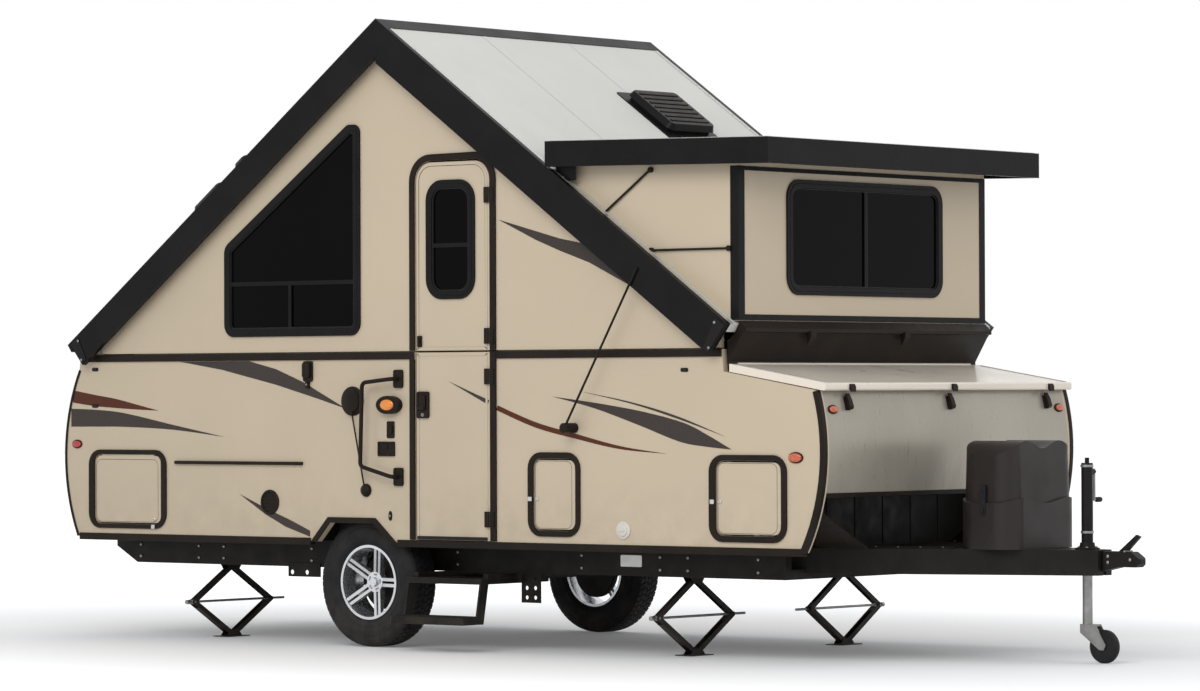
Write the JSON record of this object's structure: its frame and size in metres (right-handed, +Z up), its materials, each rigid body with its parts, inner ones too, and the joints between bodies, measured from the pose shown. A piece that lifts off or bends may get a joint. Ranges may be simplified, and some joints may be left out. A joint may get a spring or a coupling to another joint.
{
  "type": "a-frame folding camper trailer",
  "caption": "Single-axle a-frame folding camper parked with its roof, gable walls and front dormer up, on its wheels, tongue jack and lowered corner jacks.",
  "frame": {"origin": "on the ground under the middle of the trailer's overall length and width", "axes": "+X forward to the coupler, +Y to the off side away from the door, +Z up"},
  "size_m": [6.4313, 2.4255, 3.316],
  "materials": {
    "chassis_paint": "semi-gloss black enamel",
    "moulded_cover": "moulded, slightly satin",
    "floor_board": "dark sealed board",
    "wall_panel": "smooth champagne laminate",
    "lid_panel": "smooth pale laminate",
    "roof_skin": "light grey membrane",
    "black_trim": "satin black extrusion",
    "tinted_glass": "dark tinted, black frame",
    "tyre": "rubber",
    "alloy": "machined face",
    "zinc_steel": "zinc plated",
    "hard_rubber": "hard rubber"
  },
  "bodies": {
    "trailer": {"chassis_frame": "chassis_paint", "coupler": "chassis_paint", "gas_bottle_cover": "moulded_cover", "axle_and_arms": "chassis_paint", "cabin_floor": "floor_board", "side_wall_curb": "wall_panel", "side_wall_off": "wall_panel", "rear_wall": "wall_panel", "front_wall": "wall_panel", "roof_rear_panel": "roof_skin", "roof_front_panel": "roof_skin", "roof_trim_and_vents": "black_trim", "dormer_walls": "wall_panel", "dormer_roof": "black_trim", "dormer_window": "tinted_glass", "body_trim": "black_trim", "side_fittings": "black_trim", "tongue_jack_tube": "chassis_paint"},
    "wheel_curb": {"tyre_curb": "tyre", "rim_curb": "alloy"},
    "wheel_off": {"tyre_off": "tyre", "rim_off": "alloy"},
    "tongue_jack_leg": {"jack_leg": "zinc_steel"},
    "tongue_jack_wheel": {"jack_wheel": "hard_rubber"},
    "entry_step": {"entry_step": "chassis_paint"},
    "door_lower": {"door_lower": "wall_panel"},
    "door_upper": {"door_upper": "wall_panel", "door_window": "tinted_glass"},
    "hatch_rear": {"hatch_rear": "wall_panel"},
    "hatch_mid": {"hatch_mid": "wall_panel"},
    "hatch_front": {"hatch_front": "wall_panel"},
    "trunk_lid": {"trunk_lid": "lid_panel"},
    "gable_curb": {"gable_wall_curb": "wall_panel", "gable_window_curb": "tinted_glass"},
    "gable_off": {"gable_wall_off": "wall_panel", "gable_window_off": "tinted_glass"},
    "jack_rear_curb_upper_outer": {"jack_rear_curb_upper_outer": "chassis_paint"},
    "jack_rear_curb_lower_outer": {"jack_rear_curb_lower_outer": "chassis_paint"},
    "jack_rear_curb_upper_inner": {"jack_rear_curb_upper_inner": "chassis_paint"},
    "jack_rear_curb_lower_inner": {"jack_rear_curb_lower_inner": "chassis_paint"},
    "jack_rear_curb_pad": {"jack_rear_curb_pad": "chassis_paint"},
    "jack_rear_curb_screw": {"jack_rear_curb_screw": "zinc_steel"},
    "jack_rear_off_upper_outer": {"jack_rear_off_upper_outer": "chassis_paint"},
    "jack_rear_off_lower_outer": {"jack_rear_off_lower_outer": "chassis_paint"},
    "jack_rear_off_upper_inner": {"jack_rear_off_upper_inner": "chassis_paint"},
    "jack_rear_off_lower_inner": {"jack_rear_off_lower_inner": "chassis_paint"},
    "jack_rear_off_pad": {"jack_rear_off_pad": "chassis_paint"},
    "jack_rear_off_screw": {"jack_rear_off_screw": "zinc_steel"},
    "jack_front_curb_upper_outer": {"jack_front_curb_upper_outer": "chassis_paint"},
    "jack_front_curb_lower_outer": {"jack_front_curb_lower_outer": "chassis_paint"},
    "jack_front_curb_upper_inner": {"jack_front_curb_upper_inner": "chassis_paint"},
    "jack_front_curb_lower_inner": {"jack_front_curb_lower_inner": "chassis_paint"},
    "jack_front_curb_pad": {"jack_front_curb_pad": "chassis_paint"},
    "jack_front_curb_screw": {"jack_front_curb_screw": "zinc_steel"},
    "jack_front_off_upper_outer": {"jack_front_off_upper_outer": "chassis_paint"},
    "jack_front_off_lower_outer": {"jack_front_off_lower_outer": "chassis_paint"},
    "jack_front_off_upper_inner": {"jack_front_off_upper_inner": "chassis_paint"},
    "jack_front_off_lower_inner": {"jack_front_off_lower_inner": "chassis_paint"},
    "jack_front_off_pad": {"jack_front_off_pad": "chassis_paint"},
    "jack_front_off_screw": {"jack_front_off_screw": "zinc_steel"}
  },
  "joints": [
    {"name": "wheel_curb_spin", "type": "hinge", "parent": "trailer", "child": "wheel_curb", "pos_m": [-0.988, -0.9385, 0.343], "axis": [0, 1, 0], "continuous": true},
    {"name": "wheel_off_spin", "type": "hinge", "parent": "trailer", "child": "wheel_off", "pos_m": [-0.988, 0.9385, 0.343], "axis": [0, 1, 0], "continuous": true},
    {"name": "tongue_jack_lift", "type": "slide", "parent": "trailer", "child": "tongue_jack_leg", "axis": [0, 0, 1], "range_m": [-0.15, 0.23]},
    {"name": "jack_wheel_spin", "type": "hinge", "parent": "tongue_jack_leg", "child": "tongue_jack_wheel", "pos_m": [2.988, 0, 0.083], "axis": [0, 1, 0], "continuous": true},
    {"name": "entry_step_slide", "type": "slide", "parent": "trailer", "child": "entry_step", "axis": [0, 1, 0], "range_m": [0, 0.165]},
    {"name": "door_lower_hinge", "type": "hinge", "parent": "trailer", "child": "door_lower", "pos_m": [-0.082, -1.0935, 0], "axis": [0, 0, 1], "range_deg": [0, 110]},
    {"name": "gable_curb_fold", "type": "hinge", "parent": "trailer", "child": "gable_curb", "pos_m": [0, -1.0415, 1.572], "axis": [-1, 0, 0], "range_deg": [0, 90]},
    {"name": "door_upper_hinge", "type": "hinge", "parent": "gable_curb", "child": "door_upper", "pos_m": [-0.082, -1.0935, 0], "axis": [0, 0, 1], "range_deg": [0, 110]},
    {"name": "gable_off_fold", "type": "hinge", "parent": "trailer", "child": "gable_off", "pos_m": [0, 1.0415, 1.638], "axis": [1, 0, 0], "range_deg": [0, 90]},
    {"name": "hatch_rear_hinge", "type": "hinge", "parent": "trailer", "child": "hatch_rear", "pos_m": [0, -1.0815, 1.0075], "axis": [-1, 0, 0], "range_deg": [0, 90]},
    {"name": "hatch_mid_hinge", "type": "hinge", "parent": "trailer", "child": "hatch_mid", "pos_m": [0.4915, -1.0815, 0], "axis": [0, 0, 1], "range_deg": [0, 90]},
    {"name": "hatch_front_hinge", "type": "hinge", "parent": "trailer", "child": "hatch_front", "pos_m": [1.8075, -1.0815, 0], "axis": [0, 0, 1], "range_deg": [0, 90]},
    {"name": "trunk_lid_hinge", "type": "hinge", "parent": "trailer", "child": "trunk_lid", "pos_m": [1.482, 0, 1.486], "axis": [0, -1, 0], "range_deg": [0, 55]},
    {"name": "jack_rear_curb_fold", "type": "hinge", "parent": "trailer", "child": "jack_rear_curb_upper_outer", "pos_m": [-2.358, -0.657, 0.38234], "axis": [-1, 0, 0], "range_deg": [-22, 26]},
    {"name": "jack_rear_curb_upper_inner_pivot", "type": "hinge", "parent": "trailer", "child": "jack_rear_curb_upper_inner", "pos_m": [-2.358, -0.625, 0.38234], "axis": [-1, 0, 0], "range_deg": [-26.5, 22.5]},
    {"name": "jack_rear_curb_knuckle_outer", "type": "hinge", "parent": "jack_rear_curb_upper_outer", "child": "jack_rear_curb_lower_outer", "pos_m": [-2.358, -0.94534, 0.20217], "axis": [-1, 0, 0], "range_deg": [-52.5, 44.5]},
    {"name": "jack_rear_curb_knuckle_inner", "type": "hinge", "parent": "jack_rear_curb_upper_inner", "child": "jack_rear_curb_lower_inner", "pos_m": [-2.358, -0.33666, 0.20217], "axis": [-1, 0, 0], "range_deg": [-44.5, 52.5]},
    {"name": "jack_rear_curb_pad_pivot", "type": "hinge", "parent": "jack_rear_curb_lower_outer", "child": "jack_rear_curb_pad", "pos_m": [-2.358, -0.657, 0.022], "axis": [-1, 0, 0], "range_deg": [-22.5, 26.5]},
    {"name": "jack_rear_curb_screw_pivot", "type": "hinge", "parent": "jack_rear_curb_upper_outer", "child": "jack_rear_curb_screw", "pos_m": [-2.358, -0.94534, 0.20217], "axis": [-1, 0, 0], "range_deg": [-26.5, 22.5]},
    {"name": "jack_rear_off_fold", "type": "hinge", "parent": "trailer", "child": "jack_rear_off_upper_outer", "pos_m": [-2.358, 0.657, 0.38234], "axis": [1, 0, 0], "range_deg": [-22, 26]},
    {"name": "jack_rear_off_upper_inner_pivot", "type": "hinge", "parent": "trailer", "child": "jack_rear_off_upper_inner", "pos_m": [-2.358, 0.625, 0.38234], "axis": [1, 0, 0], "range_deg": [-26.5, 22.5]},
    {"name": "jack_rear_off_knuckle_outer", "type": "hinge", "parent": "jack_rear_off_upper_outer", "child": "jack_rear_off_lower_outer", "pos_m": [-2.358, 0.94534, 0.20217], "axis": [1, 0, 0], "range_deg": [-52.5, 44.5]},
    {"name": "jack_rear_off_knuckle_inner", "type": "hinge", "parent": "jack_rear_off_upper_inner", "child": "jack_rear_off_lower_inner", "pos_m": [-2.358, 0.33666, 0.20217], "axis": [1, 0, 0], "range_deg": [-44.5, 52.5]},
    {"name": "jack_rear_off_pad_pivot", "type": "hinge", "parent": "jack_rear_off_lower_outer", "child": "jack_rear_off_pad", "pos_m": [-2.358, 0.657, 0.022], "axis": [1, 0, 0], "range_deg": [-22.5, 26.5]},
    {"name": "jack_rear_off_screw_pivot", "type": "hinge", "parent": "jack_rear_off_upper_outer", "child": "jack_rear_off_screw", "pos_m": [-2.358, 0.94534, 0.20217], "axis": [1, 0, 0], "range_deg": [-26.5, 22.5]},
    {"name": "jack_front_curb_fold", "type": "hinge", "parent": "trailer", "child": "jack_front_curb_upper_outer", "pos_m": [0.912, -0.657, 0.38234], "axis": [-1, 0, 0], "range_deg": [-22, 26]},
    {"name": "jack_front_curb_upper_inner_pivot", "type": "hinge", "parent": "trailer", "child": "jack_front_curb_upper_inner", "pos_m": [0.912, -0.625, 0.38234], "axis": [-1, 0, 0], "range_deg": [-26.5, 22.5]},
    {"name": "jack_front_curb_knuckle_outer", "type": "hinge", "parent": "jack_front_curb_upper_outer", "child": "jack_front_curb_lower_outer", "pos_m": [0.912, -0.94534, 0.20217], "axis": [-1, 0, 0], "range_deg": [-52.5, 44.5]},
    {"name": "jack_front_curb_knuckle_inner", "type": "hinge", "parent": "jack_front_curb_upper_inner", "child": "jack_front_curb_lower_inner", "pos_m": [0.912, -0.33666, 0.20217], "axis": [-1, 0, 0], "range_deg": [-44.5, 52.5]},
    {"name": "jack_front_curb_pad_pivot", "type": "hinge", "parent": "jack_front_curb_lower_outer", "child": "jack_front_curb_pad", "pos_m": [0.912, -0.657, 0.022], "axis": [-1, 0, 0], "range_deg": [-22.5, 26.5]},
    {"name": "jack_front_curb_screw_pivot", "type": "hinge", "parent": "jack_front_curb_upper_outer", "child": "jack_front_curb_screw", "pos_m": [0.912, -0.94534, 0.20217], "axis": [-1, 0, 0], "range_deg": [-26.5, 22.5]},
    {"name": "jack_front_off_fold", "type": "hinge", "parent": "trailer", "child": "jack_front_off_upper_outer", "pos_m": [0.912, 0.657, 0.38234], "axis": [1, 0, 0], "range_deg": [-22, 26]},
    {"name": "jack_front_off_upper_inner_pivot", "type": "hinge", "parent": "trailer", "child": "jack_front_off_upper_inner", "pos_m": [0.912, 0.625, 0.38234], "axis": [1, 0, 0], "range_deg": [-26.5, 22.5]},
    {"name": "jack_front_off_knuckle_outer", "type": "hinge", "parent": "jack_front_off_upper_outer", "child": "jack_front_off_lower_outer", "pos_m": [0.912, 0.94534, 0.20217], "axis": [1, 0, 0], "range_deg": [-52.5, 44.5]},
    {"name": "jack_front_off_knuckle_inner", "type": "hinge", "parent": "jack_front_off_upper_inner", "child": "jack_front_off_lower_inner", "pos_m": [0.912, 0.33666, 0.20217], "axis": [1, 0, 0], "range_deg": [-44.5, 52.5]},
    {"name": "jack_front_off_pad_pivot", "type": "hinge", "parent": "jack_front_off_lower_outer", "child": "jack_front_off_pad", "pos_m": [0.912, 0.657, 0.022], "axis": [1, 0, 0], "range_deg": [-22.5, 26.5]},
    {"name": "jack_front_off_screw_pivot", "type": "hinge", "parent": "jack_front_off_upper_outer", "child": "jack_front_off_screw", "pos_m": [0.912, 0.94534, 0.20217], "axis": [1, 0, 0], "range_deg": [-26.5, 22.5]}
  ],
  "couplings": [
    {"joint": "jack_rear_curb_upper_inner_pivot", "follows": "jack_rear_curb_fold", "ratio": -1},
    {"joint": "jack_rear_curb_knuckle_outer", "follows": "jack_rear_curb_fold", "ratio": -2},
    {"joint": "jack_rear_curb_knuckle_inner", "follows": "jack_rear_curb_fold", "ratio": 2},
    {"joint": "jack_rear_curb_pad_pivot", "follows": "jack_rear_curb_fold", "ratio": 1},
    {"joint": "jack_rear_curb_screw_pivot", "follows": "jack_rear_curb_fold", "ratio": -1},
    {"joint": "jack_rear_off_upper_inner_pivot", "follows": "jack_rear_off_fold", "ratio": -1},
    {"joint": "jack_rear_off_knuckle_outer", "follows": "jack_rear_off_fold", "ratio": -2},
    {"joint": "jack_rear_off_knuckle_inner", "follows": "jack_rear_off_fold", "ratio": 2},
    {"joint": "jack_rear_off_pad_pivot", "follows": "jack_rear_off_fold", "ratio": 1},
    {"joint": "jack_rear_off_screw_pivot", "follows": "jack_rear_off_fold", "ratio": -1},
    {"joint": "jack_front_curb_upper_inner_pivot", "follows": "jack_front_curb_fold", "ratio": -1},
    {"joint": "jack_front_curb_knuckle_outer", "follows": "jack_front_curb_fold", "ratio": -2},
    {"joint": "jack_front_curb_knuckle_inner", "follows": "jack_front_curb_fold", "ratio": 2},
    {"joint": "jack_front_curb_pad_pivot", "follows": "jack_front_curb_fold", "ratio": 1},
    {"joint": "jack_front_curb_screw_pivot", "follows": "jack_front_curb_fold", "ratio": -1},
    {"joint": "jack_front_off_upper_inner_pivot", "follows": "jack_front_off_fold", "ratio": -1},
    {"joint": "jack_front_off_knuckle_outer", "follows": "jack_front_off_fold", "ratio": -2},
    {"joint": "jack_front_off_knuckle_inner", "follows": "jack_front_off_fold", "ratio": 2},
    {"joint": "jack_front_off_pad_pivot", "follows": "jack_front_off_fold", "ratio": 1},
    {"joint": "jack_front_off_screw_pivot", "follows": "jack_front_off_fold", "ratio": -1}
  ]
}
